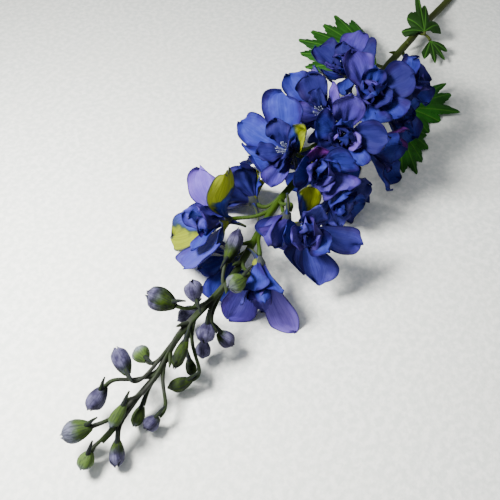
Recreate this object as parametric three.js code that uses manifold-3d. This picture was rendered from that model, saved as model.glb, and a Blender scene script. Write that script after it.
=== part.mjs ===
// A cut delphinium flower spike lying on its side, in millimetres with +Z up.
//
// The stem runs along X from the youngest buds to the cut end, and Z is 0 on the surface below.
// Florets crowd round the lower half of the spike, so each one keeps to a cell of space of its own.
// A petal that would cross a neighbour, the stem, a leaf or the surface bends and lies along it.

import * as THREE from "three";
import Module from "manifold-3d";

const wasm = await Module();
wasm.setup();

// ---------------------------------------------------------------- driving dimensions

const MIDDLE = new THREE.Vector3(274.7, 8, 0); // middle of the whole flower, measured from the tip
const BLADE = 0.7; // thickness of a petal or a leaf
const GAP = 0.3; // clear space between two pieces that touch

// The stem's centre line as [distance from the tip, sideways, height].
const STEM_LINE = [
  [5, -1, 13.5], [12, -2, 14], [24, -2, 15], [46, -5, 19], [70, -3, 23], [100, -8, 28], [122, -9, 30],
  [172, -4, 31], [210, -5, 31], [260, -3, 29], [305, -1, 25], [344, 0, 20], [390, 1, 14],
  [436, 2, 8], [482, 0, 4.2], [520, -1, 2.7], [560, -2, 2.45],
];
const STEM_RADIUS_TIP = 1.5;
const STEM_RADIUS_CUT = 2.75;
const STEM_THICK_FROM = 330; // the stem has its full thickness from here to the cut
const STEM_SIDES = 6;
const STEM_STEPS = 16;
const STEM_CLEARANCE = 8; // petals bend round the stem and the flower stalks that run along it
const STALK_RADIUS = 1.15;
const BRACT = { length: 6.5, spread: 3.5, root: 1.5, tip: 0.4 };

// An outer sepal and an inner petal. Angles are from the floret's own axis, in degrees. The inner
// ring is turned against the outer one, and lies that many layers in front of it.
const SEPAL = {
  name: "sepals", turn: 0, layer: 0, count: 5, length: 33, width: 26, root: 2.6, sunk: 2,
  rise: 46, open: 98, cup: 2.6, twist: 1.8, ruffle: 1.3, claw: 0.1, rows: [2, 3, 3, 3],
};
const PETAL = {
  name: "petals", turn: 40, layer: 3, count: 3, length: 21, width: 16, root: 2.4, sunk: 0.4,
  rise: 12, open: 60, cup: 1.2, twist: 0.8, ruffle: 0.9, claw: 0.14, rows: [2, 3, 2],
};
const FLATTENED = 0.15; // petals this close to the surface lie flat on it
const STAMENS = { count: 6, length: 9.5, spread: 3, button: 1.6, thick: 1.4 };
const KNOB_RINGS = [[1.6, -5], [4, -1.6], [4.2, 1.2]]; // radius and height up the floret's axis
const KNOB_BACK = KNOB_RINGS[0][1];
const KNOB_TOP = KNOB_RINGS[2][1];
const TIP_ROUND = 0.2; // how far a petal's corners fall short of its tip, as a share of its length
const CROWDING = 4.5; // how early a petal starts to bend away from a neighbour, in millimetres
const LAYER = 0.75; // sepals that meet the same neighbour lie this far apart
const NEIGHBOURS_WITHIN = 80; // florets further apart than this never meet
const ROOT_FREE = 2; // a petal keeps its shape this near its root
const ROOT_BENDS = 11; // and gives way fully from here on
const SPUR = [[0.8, 0, -1.5], [3.5, 0, -9], [10, 0, -15]]; // in the floret's own axes
const SPUR_ROOT = 1.7;
const SPUR_TIP = 0.6;
const STAMEN_ROOM = [[1.9, KNOB_TOP], [4.5, STAMENS.length + 2]]; // radius and height

// Every floret: where its petals meet, which way it faces, its size and how far it has opened.
// reach places the middle of its cell in front of it, and floor is the lowest its petals hang.
// Where the sepals or petals aren't an even ring, each has its azimuth, then its length, width and
// openness as shares of the usual, and for some how far it rolls about its own length, in degrees.
const FLORETS = [
  {
    at: [311, -22, 40], faces: [0.4, -0.65, 0.6], turn: 30, size: 1, open: 0.9, reach: 12, floor: 12,
    sepals: [
      [20, 0.85, 0.9, 1, 30], [80, 0.8, 1, 1, 20], [135, 1, 1, 1], [165, 0.9, 1, 0.9, -20],
      [330, 0.55, 0.9, 0.9],
    ],
  },
  { at: [306, 13, 36], faces: [-0.35, 0.35, 0.87], turn: 30, size: 1, open: 1, reach: 11, floor: 8 },
  {
    at: [270, -18, 52], faces: [-0.48, -0.29, 0.83], turn: 50, size: 1, open: 1, reach: 14, floor: 8,
    sepals: [[36, 1, 1.1, 1], [345, 1, 0.9, 1], [85, 1, 0.9, 1], [150, 1, 1, 0.9], [240, 0.9, 0.9, 1]],
  },
  { at: [280, 24, 27], faces: [-0.1, 0.88, 0.46], turn: 15, size: 0.95, open: 1, reach: 10, floor: 0 },
  {
    at: [247, 2, 46], faces: [-0.75, 0.22, 0.62], turn: 5, size: 1, open: 0.95, reach: 12, floor: 8,
    sepals: [
      [225, 1.15, 1, 1], [195, 0.9, 1, 0.7], [300, 0.9, 0.9, 1], [10, 0.8, 0.8, 1],
      [120, 1, 0.8, 0.9],
    ],
  },
  { at: [283, -29, 35], faces: [0, -0.97, 0.22], turn: 40, size: 1, open: 1, reach: 10, floor: 10 },
  { at: [231, -19, 50], faces: [-0.8, -0.25, 0.5], turn: 65, size: 0.95, open: 0.85, reach: 12, floor: 8 },
  { at: [252, -28, 28], faces: [0.1, -0.97, 0], turn: 20, size: 1.05, open: 0.65, reach: 10, floor: 5 },
  {
    at: [204, 4, 46], faces: [-0.64, 0.33, 0.7], turn: 24, size: 1.08, open: 1.02, reach: 14, floor: 8,
    sepals: [
      [5, 1, 0.85, 1, -50], [105, 0.85, 1.2, 1, 50], [180, 1, 1.1, 1, 15], [245, 1.1, 1, 1],
      [300, 1.15, 0.9, 1.05, -25],
    ],
  },
  {
    at: [203, -15, 44], faces: [-0.66, -0.64, 0.4], turn: 35, size: 1, open: 0.95, reach: 12, floor: 8,
    sepals: [
      [30, 0.75, 0.9, 1], [107, 1, 1.1, 1], [179, 1, 1.05, 1], [246, 0.55, 1.1, 1],
      [318, 0.85, 0.9, 1],
    ],
  },
  {
    at: [208, -26, 24], faces: [-0.45, -0.87, -0.15], turn: 36, size: 1, open: 0.95, reach: 10, floor: 0,
    sepals: [
      [10, 0.7, 1, 1], [106, 0.8, 1.3, 1, -12], [150, 0.9, 1.3, 1, -30], [196, 0.7, 0.9, 1, -30],
      [288, 0.9, 1, 1],
    ],
  },
  {
    at: [158, -27, 38], faces: [-0.5, -0.66, 0.55], turn: 60, size: 1.12, open: 1.05, reach: 12, floor: 2,
    sepals: [
      [18, 1, 0.9, 1], [60, 1, 1.35, 1], [127, 1.02, 0.62, 1], [227, 0.76, 0.62, 1],
      [330, 0.6, 0.6, 0.9],
    ],
  },
  {
    at: [156, -19, 43], faces: [-0.7, 0.1, -0.55], turn: 10, size: 0.92, open: 1.05, reach: 6, floor: 20,
    sepals: [
      [46, 0.9, 1.25, -0.45], [136, 0.9, 1.25, -0.45], [226, 0.9, 1.25, -0.45],
      [316, 0.9, 1.25, -0.45],
    ],
    petals: [[90, 0.5, 0.7, -0.1], [270, 0.5, 0.7, -0.1]],
  },
  {
    at: [178, 16, 21], faces: [0.2, 0.97, 0.13], turn: 60, size: 1, open: 0.8, reach: 10, floor: 0,
    sepals: [
      [100, 0.75, 1.1, 1, -25], [150, 0.65, 1.1, 0.9, 50], [200, 1, 1.2, 0.9, 40], [276, 1, 1, 1],
      [20, 0.9, 0.8, 1],
    ],
  },
  {
    at: [147, 16, 31], faces: [-0.82, 0.52, 0.24], turn: 45, size: 1.2, open: 0.95, reach: 12, floor: 0,
    sepals: [
      [85, 1.5, 0.75, 1.25, -105], [162, 0.8, 0.85, 1, 20], [250, 1.15, 0.95, 1, 5],
      [328, 1.15, 1.8, 0.8, -5], [25, 0.8, 0.8, 1],
    ],
  },
  {
    at: [129, -18, 30], faces: [-0.8, -0.4, -0.4], turn: 0, size: 1.2, open: 0.55, reach: 9, floor: 0,
    sepals: [
      [100, 1.05, 0.95, 1.25, 15], [140, 0.8, 0.7, 1.3], [172, 1.3, 0.85, 1, -45],
      [250, 0.6, 0.5, 1.1], [325, 0.55, 0.7, 1.2],
    ],
    beside: [{ piece: [107, -16, 36], away: [0.35, -0.2, -0.92], clear: 6.5 }],
  },
  { at: [136, 4, 13], faces: [-0.46, 0.62, -0.62], turn: 50, size: 0.9, open: 1, reach: 6, floor: 0 },
  { at: [228, 24, 24], faces: [-0.15, 0.93, 0.3], turn: 20, size: 0.95, open: 0.9, reach: 10, floor: 0 },
  { at: [243, -2, 7.5], faces: [0.1, 0.15, -0.98], turn: 20, size: 0.95, open: 1.02, reach: 4, floor: 0 },
];
const FLORETS_WITH_HIDDEN_STAMENS = [11, 13, 14, 17, 19]; // half open, or facing the surface
const FLORET_STALK_RUN = 24; // a stalk leaves the stem this far below its floret

// Every bud: the end on its stalk, its tip, its greatest width, and where its stalk leaves the stem.
const BUDS = [
  { base: [82, 6, 30], tip: [79, 24, 32], width: 13.5, from: 97 },
  { base: [86, -5, 37], tip: [91, 1, 46], width: 10, from: 100 },
  { base: [94, 1, 17], tip: [84, 8, 12], width: 9.5, from: 112 },
  { base: [117, -4, 36], tip: [137, -1, 44], width: 8.5, from: 108 },
  { base: [113, -19, 37], tip: [102, -14, 36], width: 11, from: 128 },
  { base: [84, -13, 26], tip: [74, -17, 22], width: 10, from: 104 },
  { base: [87, -17, 16], tip: [86, -28, 12], width: 8.5, from: 108 },
  { base: [81, -12, 12], tip: [72, -16, 8], width: 8.5, from: 102 },
  { base: [37, 5, 25], tip: [45, 18, 30], width: 9.5, from: 70 },
  { base: [52, 5, 17], tip: [55, 15, 18], width: 9.5, from: 66 },
  { base: [27, 12, 22], tip: [15, 15, 13], width: 9.5, from: 50 },
  { base: [7, 5, 20], tip: [-4, 17, 16], width: 11, from: 36 },
  { base: [-1, 1, 11], tip: [-10, 1, 6.5], width: 8, from: 12 },
  { base: [24, -3, 23.5], tip: [10, -4, 21.5], width: 6.5, from: 36 },
  { base: [11, -6, 10], tip: [0, -13, 6], width: 7.5, from: 34 },
  { base: [70, -9, 26], tip: [53, -12, 22], width: 6.5, from: 82 },
  { base: [58, -19, 10], tip: [48, -10, 7], width: 7.5, from: 84 },
  { base: [67, -11, 12], tip: [61, -18, 8], width: 5.5, from: 80 },
  { base: [32, -16, 9], tip: [23, -13, 7], width: 8, from: 58 },
  { base: [33, -5, 8.5], tip: [22, -7, 4.5], width: 6, from: 48 },
];

// Every leaf: where its stalk meets it, where the stalk leaves the stem, how high the blade arches,
// and the tips of its lobes, with the blade cut back between them to a share of their length.
const LEAVES = [
  {
    base: [355, 10, 14], from: 398, cut: 0.82, arch: 3,
    lobes: [
      [331, 58, 8], [343, 69, 10], [356, 78, 12], [371, 74, 13], [382, 69, 14], [398, 67, 15],
      [399, 51, 15],
    ],
  },
  {
    base: [326, -27, 8], from: 352, cut: 0.72, arch: 1.5,
    lobes: [[369, -42, 8], [361, -49, 6], [348, -62, 3], [334, -52, 0], [318, -50, 0]],
  },
  {
    base: [306, -30, 6], from: 336, cut: 0.82, arch: 1.5,
    lobes: [[311, -50, 4], [301, -56, 2], [288, -57, 0], [274, -59, 0], [270, -50, 0]],
  },
  {
    base: [410, -6, 17], from: 418, cut: 0.6, arch: 2,
    lobes: [[402, 10, 16], [416, 12, 20], [450, 21, 31], [434, 4, 24], [425, -12, 17]],
  },
  {
    base: [407, -13, 13], from: 424, cut: 0.6, arch: 1,
    lobes: [[408, -28, 8], [399, -30, 6], [391, -25, 6], [389, -16, 8]],
  },
];
const LEAF_STALK_RADIUS = 1;
// The edge from one lobe's tip to the next: share of the way, and of the full depth of the cut.
const LOBE_SIDE = [[0.22, 0.36], [0.35, 0.75], [0.5, 1], [0.74, 0.5]];

// Small pointed bracts where the stalks leave the stem: [distance from the tip, angle round it].
const BRACTS = [
  [46, 20], [60, 200], [78, 60], [96, 300], [108, 150], [124, 80], [140, 30],
  [372, 40], [380, 200], [392, 120], [404, 300],
];

const PETAL_BLUE = 0x3c4baa;
const STAMEN_WHITE = 0xe6e8d8;
const STEM_GREEN = 0x6a8c2a;
const BUD_LILAC = 0x8583a0;
const LEAF_GREEN = 0x2d6419;

// ---------------------------------------------------------------- small helpers

const UP = new THREE.Vector3(0, 0, 1);
const TIPWARD = new THREE.Vector3(-1, 0, 0);
const degrees = THREE.MathUtils.degToRad;

function vector(list) {
  return new THREE.Vector3(...list);
}

/** A repeatable draw between -1 and 1 for one piece and one use. */
function draw(piece, use) {
  const wave = Math.sin(piece * 12.9898 + use * 78.233) * 43758.5453;
  return 2 * (wave - Math.floor(wave)) - 1;
}

/** The centre of the stem at a distance from the tip, smoothly between the points of its line. */
function stemCentre(distance) {
  const last = STEM_LINE.length - 1;
  const x = THREE.MathUtils.clamp(distance, STEM_LINE[0][0], STEM_LINE[last][0]);
  let span = 0;
  while (span < last - 1 && STEM_LINE[span + 1][0] < x) span += 1;
  const here = STEM_LINE[span];
  const next = STEM_LINE[span + 1];
  const share = (x - here[0]) / (next[0] - here[0]);
  const slope = (i, k) => {
    const before = STEM_LINE[Math.max(i - 1, 0)];
    const after = STEM_LINE[Math.min(i + 1, last)];
    return ((after[k] - before[k]) / (after[0] - before[0])) * (next[0] - here[0]);
  };
  const at = (k) => {
    const s2 = share * share;
    const s3 = s2 * share;
    return (2 * s3 - 3 * s2 + 1) * here[k] + (s3 - 2 * s2 + share) * slope(span, k)
      + (3 * s2 - 2 * s3) * next[k] + (s3 - s2) * slope(span + 1, k);
  };
  return new THREE.Vector3(x, at(1), at(2));
}

function stemRadius(distance) {
  const share = THREE.MathUtils.clamp(distance / STEM_THICK_FROM, 0, 1);
  return THREE.MathUtils.lerp(STEM_RADIUS_TIP, STEM_RADIUS_CUT, share);
}

// ---------------------------------------------------------------- solids

/** A closed solid from corner points and triangles. */
function solid(points, triangles) {
  const vertProperties = new Float32Array(points.flatMap((point) => [point.x, point.y, point.z]));
  const triVerts = new Uint32Array(triangles);
  return new wasm.Manifold(new wasm.Mesh({ numProp: 3, vertProperties, triVerts }));
}

/** Joins solids that grow from one another. Sealed hollows are filled and loose scraps dropped. */
function fuse(solids) {
  const joined = wasm.Manifold.union(solids);
  const bodies = joined.decompose();
  return bodies.reduce((largest, body) => (body.volume() > largest.volume() ? body : largest));
}

function mesh(name, shape, colour, roughness) {
  const { vertProperties, triVerts } = shape.getMesh();
  const geometry = new THREE.BufferGeometry();
  geometry.setAttribute("position", new THREE.BufferAttribute(vertProperties, 3));
  geometry.setIndex(new THREE.BufferAttribute(triVerts, 1));
  geometry.computeVertexNormals();
  const material = new THREE.MeshStandardMaterial({ color: colour, roughness, metalness: 0 });
  const result = new THREE.Mesh(geometry, material);
  result.name = name;
  return result;
}

/** A round or lobed rod along a curve, with radiusAt(share of the way, angle round it). */
function rod(curve, steps, sides, radiusAt) {
  const frames = curve.computeFrenetFrames(steps, false);
  const points = [];
  for (let ring = 0; ring <= steps; ring += 1) {
    const share = ring / steps;
    const centre = curve.getPointAt(share);
    for (let side = 0; side < sides; side += 1) {
      const angle = (2 * Math.PI * side) / sides;
      const radius = radiusAt(share, angle);
      const point = centre.clone();
      point.addScaledVector(frames.normals[ring], Math.cos(angle) * radius);
      point.addScaledVector(frames.binormals[ring], Math.sin(angle) * radius);
      points.push(point);
    }
  }
  return skinned(points, sides);
}

/** A closed skin over rings of points, each with the same number of sides. */
function skinned(points, sides) {
  const triangles = [];
  const end = points.length - sides;
  for (let ring = 0; ring < end; ring += sides) {
    for (let side = 0; side < sides; side += 1) {
      const a = ring + side;
      const b = ring + ((side + 1) % sides);
      triangles.push(a, b, b + sides, a, b + sides, a + sides);
    }
  }
  for (let side = 1; side < sides - 1; side += 1) {
    triangles.push(0, side + 1, side, end, end + side, end + side + 1);
  }
  return solid(points, triangles);
}

/** A turned shape on the Z axis of some axes, from rings of [radius, height]. */
function turned(axes, rings, sides, firstAzimuth) {
  const points = [];
  for (const [radius, height] of rings) {
    for (let side = 0; side < sides; side += 1) {
      const azimuth = firstAzimuth + (2 * Math.PI * side) / sides;
      const point = new THREE.Vector3(radius * Math.cos(azimuth), radius * Math.sin(azimuth), height);
      points.push(point.applyMatrix4(axes));
    }
  }
  return skinned(points, sides);
}

/** The triangles between two rows of points that may differ in number. */
function stitch(first, count, nextFirst, nextCount, face) {
  let a = 0;
  let b = 0;
  while (a < count - 1 || b < nextCount - 1) {
    const stepBelow = (a + 1) / (count - 1) <= (b + 1) / (nextCount - 1);
    if (stepBelow) {
      face(first + a, first + a + 1, nextFirst + b);
      a += 1;
    } else {
      face(first + a, nextFirst + b + 1, nextFirst + b);
      b += 1;
    }
  }
}

/** A thin closed blade from rows of points, alike on both faces. settle moves a finished point. */
function blade(rows, settle) {
  const front = [];
  const back = [];
  const firsts = [];
  rows.forEach((row, r) => {
    firsts.push(front.length);
    const before = rows[Math.max(r - 1, 0)];
    const after = rows[Math.min(r + 1, rows.length - 1)];
    const nearest = (line, share) => line[Math.round(share * (line.length - 1))];
    row.forEach((point, k) => {
      const share = k / (row.length - 1);
      const along = nearest(after, share).clone().sub(nearest(before, share));
      const across = row[Math.min(k + 1, row.length - 1)].clone().sub(row[Math.max(k - 1, 0)]);
      const half = across.cross(along).setLength(BLADE / 2);
      front.push(settle(point.clone().add(half)));
      back.push(settle(point.clone().sub(half)));
    });
  });
  const other = front.length;
  const triangles = [];
  const face = (a, b, c) => triangles.push(a, b, c, a + other, c + other, b + other);
  for (let r = 0; r < rows.length - 1; r += 1) {
    stitch(firsts[r], rows[r].length, firsts[r + 1], rows[r + 1].length, face);
  }
  const rim = rows[0].map((_, k) => k);
  for (let r = 1; r < rows.length - 1; r += 1) rim.push(firsts[r] + rows[r].length - 1);
  const top = rows.length - 1;
  for (let k = rows[top].length - 1; k >= 0; k -= 1) rim.push(firsts[top] + k);
  for (let r = top - 1; r > 0; r -= 1) rim.push(firsts[r]);
  rim.forEach((a, k) => {
    const b = rim[(k + 1) % rim.length];
    triangles.push(a, a + other, b + other, a, b + other, b);
  });
  return solid(front.concat(back), triangles);
}

// ---------------------------------------------------------------- the room each floret has

function cellMiddle(floret) {
  return vector(floret.at).addScaledVector(vector(floret.faces).normalize(), floret.reach);
}

/** The planes between a floret and its neighbours, and the surface or leaf below it. */
function cellOf(floret) {
  const middle = cellMiddle(floret);
  const planes = [];
  for (const other of FLORETS) {
    const otherMiddle = cellMiddle(other);
    if (other === floret || otherMiddle.distanceTo(middle) > NEIGHBOURS_WITHIN) continue;
    const share = other.size / (other.size + floret.size);
    const normal = middle.clone().sub(otherMiddle).normalize();
    const onPlane = otherMiddle.lerp(middle, share);
    planes.push({ normal, offset: normal.dot(onPlane), soft: CROWDING });
  }
  planes.push({ normal: UP, offset: floret.floor - GAP / 2, soft: 0.3 });
  for (const { piece, away, clear } of floret.beside ?? []) {
    const normal = vector(away).normalize();
    planes.push({ normal, offset: normal.dot(vector(piece)) + clear, soft: 1.5 });
  }
  return planes;
}

/** Moves a point out of the neighbours' room until it is at least margin inside its own. */
function keepInside(point, planes, margin) {
  for (let pass = 0; pass < 6; pass += 1) {
    for (const { normal, offset } of planes) {
      const inside = normal.dot(point) - offset - margin;
      if (inside < 0) point.addScaledVector(normal, -inside);
    }
  }
  return point;
}

/** Keeps a finished point of a petal in its floret's room, and flat where it meets the surface. */
function settle(point, planes) {
  keepInside(point, planes, GAP / 2);
  if (point.z < FLATTENED) point.z = 0;
  return point;
}

/** Bends a petal's point gently away from its neighbours and from the stem. */
function press(point, floret, planes, margin) {
  const pressed = point.clone();
  for (const { normal, offset, soft } of planes) {
    const inside = normal.dot(pressed) - offset - margin;
    const eased = soft * Math.log(1 + Math.exp(Math.min(inside / soft, 30)));
    if (inside < soft * 6) pressed.addScaledVector(normal, eased - inside);
  }
  const centre = stemCentre(pressed.x);
  const away = new THREE.Vector3(0, pressed.y - centre.y, pressed.z - centre.z);
  const distance = Math.max(away.length(), 0.001);
  const eased = Math.pow(distance ** 4 + STEM_CLEARANCE ** 4, 0.25);
  pressed.addScaledVector(away, (eased - distance) / distance);
  const fromRoot = point.distanceTo(vector(floret.at));
  const share = THREE.MathUtils.smoothstep(fromRoot, ROOT_FREE, ROOT_BENDS);
  return keepInside(point.clone().lerp(pressed, share), planes, margin);
}

// ---------------------------------------------------------------- florets

/** The floret's own axes: Z along its facing, and X as near to the stem's tip as that allows. */
function floretAxes(floret) {
  const facing = vector(floret.faces).normalize();
  const back = TIPWARD.clone().addScaledVector(facing, -TIPWARD.dot(facing)).normalize();
  const side = facing.clone().cross(back);
  return new THREE.Matrix4().makeBasis(back, side, facing).setPosition(vector(floret.at));
}

/** The outline of a petal: its half width as a share of the greatest, from claw to tip. */
function petalOutline(kind, along) {
  return kind.claw + (1 - kind.claw) * Math.sin(0.68 * Math.PI * along ** 1.3);
}

/** For each petal of a ring: azimuth, shares of the usual length, width and openness, and roll. */
function ring(kind, floret) {
  if (floret[kind.name]) return floret[kind.name];
  const first = floret.turn + kind.turn;
  return Array.from({ length: kind.count }, (_, k) => [first + (360 * k) / kind.count, 1, 1, 1]);
}

/** A point of a petal in the floret's own axes, across from -1 to 1 and along from 0 to 1. */
function petalPoint(kind, floret, form, seed, across, along) {
  const [turn, longer, wider, opened, roll = 0] = form;
  const azimuth = degrees(turn + 7 * draw(seed, 5));
  const reached = along * (1 - TIP_ROUND * across * across);
  const rise = degrees(kind.rise * floret.open);
  const bend = degrees(kind.open * floret.open * opened + 9 * draw(seed, 1)) - rise;
  const angle = rise + bend * reached;
  const arm = (kind.length * floret.size * longer * (1 + 0.08 * draw(seed, 2))) / bend;
  const outline = petalOutline(kind, along);
  const widest = kind.width * floret.size * wider * (1 + 0.1 * draw(seed, 3));
  const flat = across * outline * widest * (0.4 + 0.6 * floret.open) * 0.5;
  const wave = Math.sin(2 * Math.PI * (1.4 * along + draw(seed, 4)) + 2 * across);
  const bowed = outline * (kind.cup * across * across + kind.twist * across)
    + kind.ruffle * wave * across * across * along;
  const sideways = flat * Math.cos(degrees(roll)) - bowed * Math.sin(degrees(roll));
  const lift = flat * Math.sin(degrees(roll)) + bowed * Math.cos(degrees(roll));
  const radius = kind.root + arm * (Math.cos(rise) - Math.cos(angle)) - Math.cos(angle) * lift;
  const height = arm * (Math.sin(angle) - Math.sin(rise)) + Math.sin(angle) * lift - kind.sunk;
  return new THREE.Vector3(
    radius * Math.cos(azimuth) - sideways * Math.sin(azimuth),
    radius * Math.sin(azimuth) + sideways * Math.cos(azimuth),
    height,
  );
}

function petalWhorl(kind, floret, number, planes) {
  const axes = floretAxes(floret);
  return ring(kind, floret).map((form, k, forms) => {
    const seed = number * 20 + kind.layer + k;
    const last = k === forms.length - 1;
    const layer = (kind.layer + (k % 2)) * LAYER + (last ? 2 * LAYER : 0);
    const margin = (BLADE + GAP) / 2 + layer;
    const rows = kind.rows.map((columns, row) => {
      const along = row / (kind.rows.length - 1);
      return Array.from({ length: columns }, (_, column) => {
        const across = (2 * column) / (columns - 1) - 1;
        const point = petalPoint(kind, floret, form, seed, across, along);
        return press(point.applyMatrix4(axes), floret, planes, margin);
      });
    });
    return blade(rows, (point) => settle(point, planes));
  });
}

/** The knob that the petals grow from, flat in front, with the hollow spur behind it. */
function receptacle(floret, planes) {
  const axes = floretAxes(floret);
  const knob = turned(axes, KNOB_RINGS, SEPAL.count, degrees(floret.turn + 180 / SEPAL.count));
  const place = (list) => keepInside(vector(list).applyMatrix4(axes), planes, 3);
  const spur = new THREE.QuadraticBezierCurve3(...SPUR.map(place));
  return [knob, rod(spur, 2, 4, (share) => THREE.MathUtils.lerp(SPUR_ROOT, SPUR_TIP, share))];
}

/** A button clear of the knob below, its top drawn out into one slim spike for each stamen. */
function stamens(floret, number) {
  const axes = floretAxes(floret);
  const points = [];
  const triangles = [];
  const put = (radius, azimuth, height) => {
    const point = new THREE.Vector3(radius * Math.cos(azimuth), radius * Math.sin(azimuth), height);
    points.push(point.applyMatrix4(axes));
  };
  const count = STAMENS.count;
  const step = (2 * Math.PI) / count;
  const bottom = KNOB_TOP + GAP;
  for (let k = 0; k < count; k += 1) put(STAMENS.button, k * step, bottom);
  for (let k = 0; k < count; k += 1) put(STAMENS.button, k * step, bottom + STAMENS.thick);
  for (let k = 0; k < count; k += 1) {
    const azimuth = (k + 0.5 + 0.25 * draw(number, k + 30)) * step;
    put(STAMENS.spread + 0.8 * draw(number, k + 40), azimuth, STAMENS.length + draw(number, k + 50));
  }
  put(0, 0, bottom + STAMENS.thick - 0.2);
  const middle = 3 * count;
  for (let k = 0; k < count; k += 1) {
    const next = (k + 1) % count;
    const [rim, nextRim, spike] = [count + k, count + next, 2 * count + k];
    triangles.push(k, next, nextRim, k, nextRim, rim);
    triangles.push(rim, nextRim, spike, nextRim, middle, spike, middle, rim, spike);
    if (k > 0 && k < count - 1) triangles.push(0, k + 1, k);
  }
  return solid(points, triangles);
}

/** The clear cone round the stamens that the petals leave. */
function stamenRoom(floret) {
  return turned(floretAxes(floret), STAMEN_ROOM, STAMENS.count, 0);
}

function floretSolid(floret, number, planes) {
  const sepals = petalWhorl(SEPAL, floret, number, planes);
  const petals = petalWhorl(PETAL, floret, number, planes);
  return fuse([...sepals, ...petals, ...receptacle(floret, planes)]);
}

// ---------------------------------------------------------------- buds

/** A bud of overlapping sepals, shown by its ridged section, with a curved spur at its base. */
function budSolid(bud, number) {
  const base = vector(bud.base);
  const tip = vector(bud.tip);
  const heading = tip.clone().sub(base).normalize();
  const body = new THREE.LineCurve3(base.clone().addScaledVector(heading, GAP), tip);
  const ridges = (angle) => 1 + 0.07 * Math.cos(3 * angle + number);
  const swell = (share) => 0.16 + 0.84 * Math.sin(Math.PI * (0.06 + 0.8 * share));
  const bodyRod = rod(body, 4, 6, (share, angle) => (bud.width / 2) * swell(share) * ridges(angle));
  const sideways = UP.clone().cross(heading).normalize();
  const rising = heading.clone().cross(sideways);
  const from = base.clone().addScaledVector(heading, 3).addScaledVector(rising, bud.width * 0.16);
  const bend = base.clone().addScaledVector(heading, -2).addScaledVector(rising, bud.width * 0.5);
  const end = base.clone().addScaledVector(heading, -5.5).addScaledVector(rising, bud.width * 0.6);
  const spur = new THREE.QuadraticBezierCurve3(from, bend, end);
  return fuse([bodyRod, rod(spur, 2, 3, (share) => 1.4 - 0.95 * share)]);
}

// ---------------------------------------------------------------- leaves

/** The leaf's edge, round from its base: tips, side teeth and the cuts between the lobes. */
function leafEdge(leaf) {
  const base = vector(leaf.base);
  const tips = leaf.lobes.map((lobe) => vector(lobe).sub(base));
  const edge = [];
  const between = (a, b, share, reach) => {
    const length = THREE.MathUtils.lerp(a.length(), b.length(), share);
    return a.clone().lerp(b, share).normalize().multiplyScalar(length * reach);
  };
  const beside = (tip, other, reach) => {
    const away = tip.clone().multiplyScalar(2).sub(other);
    return between(tip, away, 0.5, reach);
  };
  edge.push(beside(tips[0], tips[1], 0.35), beside(tips[0], tips[1], 0.72));
  tips.forEach((tip, k) => {
    edge.push(tip.clone());
    const next = tips[k + 1];
    if (!next) return;
    for (const [share, depth] of LOBE_SIDE) {
      edge.push(between(tip, next, share, 1 - (1 - leaf.cut) * depth));
    }
  });
  const last = tips.length - 1;
  edge.push(beside(tips[last], tips[last - 1], 0.72), beside(tips[last], tips[last - 1], 0.35));
  return edge;
}

/** A lobed leaf blade, as rays from its base out to each point of its edge. */
function leafSolid(leaf) {
  const base = vector(leaf.base);
  const edge = leafEdge(leaf);
  const rings = [0.5, 1];
  const lowest = BLADE / 2;
  const points = [];
  const place = (offset, share) => {
    const arch = leaf.arch * Math.sin(Math.PI * share);
    const point = base.clone().add(offset.clone().multiplyScalar(share));
    point.z = Math.max(point.z + arch, lowest);
    return point;
  };
  points.push(base.clone());
  for (const share of rings) {
    for (const offset of edge) points.push(place(offset, share));
  }
  const other = points.length;
  const half = new THREE.Vector3(0, 0, BLADE / 2);
  const corners = points.map((point) => point.clone().add(half));
  corners.push(...points.map((point) => point.clone().sub(half)));
  const triangles = [];
  const face = (a, b, c) => triangles.push(a, c, b, a + other, b + other, c + other);
  const count = edge.length;
  for (let k = 0; k < count - 1; k += 1) {
    const inner = 1 + k;
    const outer = 1 + count + k;
    face(0, inner, inner + 1);
    face(inner, outer, outer + 1);
    face(inner, outer + 1, inner + 1);
  }
  const rim = [0, 1];
  for (let k = 0; k < count; k += 1) rim.push(1 + count + k);
  rim.push(count);
  rim.forEach((a, k) => {
    const b = rim[(k + 1) % rim.length];
    triangles.push(a, b, b + other, a, b + other, a + other);
  });
  return solid(corners, triangles);
}

// ---------------------------------------------------------------- stem and stalks

/** A stalk that leaves the stem along it and curves out to end at a point, heading out. */
function stalk(from, end, heading, radius, sides, grow) {
  const start = stemCentre(from);
  const run = start.distanceTo(end);
  const leaves = stemCentre(start.x - 0.45 * run).lerp(end, 0.3);
  const arrives = end.clone().addScaledVector(heading, -0.34 * run);
  const curve = new THREE.CubicBezierCurve3(start, leaves, arrives, end);
  return rod(curve, 3, sides, (share) => radius * (1.25 - 0.3 * Math.sin(Math.PI * share)) + grow);
}

function mainStem(grow) {
  const last = STEM_LINE[STEM_LINE.length - 1][0];
  const points = [];
  const bends = 28;
  for (let bend = 0; bend <= bends; bend += 1) points.push(stemCentre((last * bend) / bends));
  const curve = new THREE.CatmullRomCurve3(points);
  return rod(curve, STEM_STEPS, STEM_SIDES, (share) => stemRadius(share * last) + grow);
}

/** A small pointed bract standing off the stem. */
function bract(distance, angle) {
  const centre = stemCentre(distance);
  const radius = stemRadius(distance);
  const out = new THREE.Vector3(0, Math.cos(degrees(angle)), Math.sin(degrees(angle)));
  const from = centre.clone().addScaledVector(out, radius * 0.4);
  const end = centre.clone().addScaledVector(out, radius + BRACT.spread);
  end.addScaledVector(TIPWARD, BRACT.length);
  const line = new THREE.LineCurve3(from, end);
  return rod(line, 1, 4, (share) => THREE.MathUtils.lerp(BRACT.root, BRACT.tip, share));
}

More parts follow.
